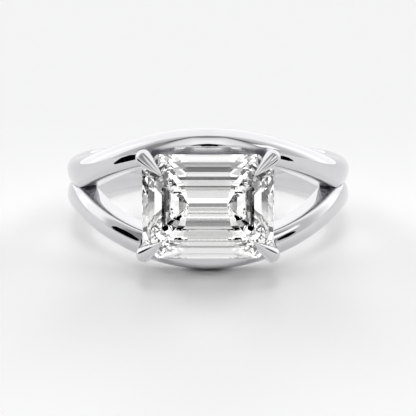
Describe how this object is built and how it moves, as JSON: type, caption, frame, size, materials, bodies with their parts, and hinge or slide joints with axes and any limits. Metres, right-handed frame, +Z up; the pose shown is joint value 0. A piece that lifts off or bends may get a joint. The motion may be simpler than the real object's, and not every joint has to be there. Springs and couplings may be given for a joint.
{
  "type": "emerald-cut solitaire ring",
  "caption": "Engagement ring of polished white metal whose split shank opens into strands that carry an emerald-cut stone in pointed claws, lying on its side.",
  "frame": {"origin": "on the surface the ring lies on, under the middle of its box", "axes": "+Z up from the surface, -Y the way the stone's table faces, +X to the right for someone who looks at the stone"},
  "size_m": [0.0196, 0.0226, 0.0091],
  "materials": {
    "mounting": "polished white gold",
    "stone": "clear cut diamond"
  },
  "bodies": {
    "root": {"mounting": "mounting", "stone": "stone"}
  },
  "joints": []
}
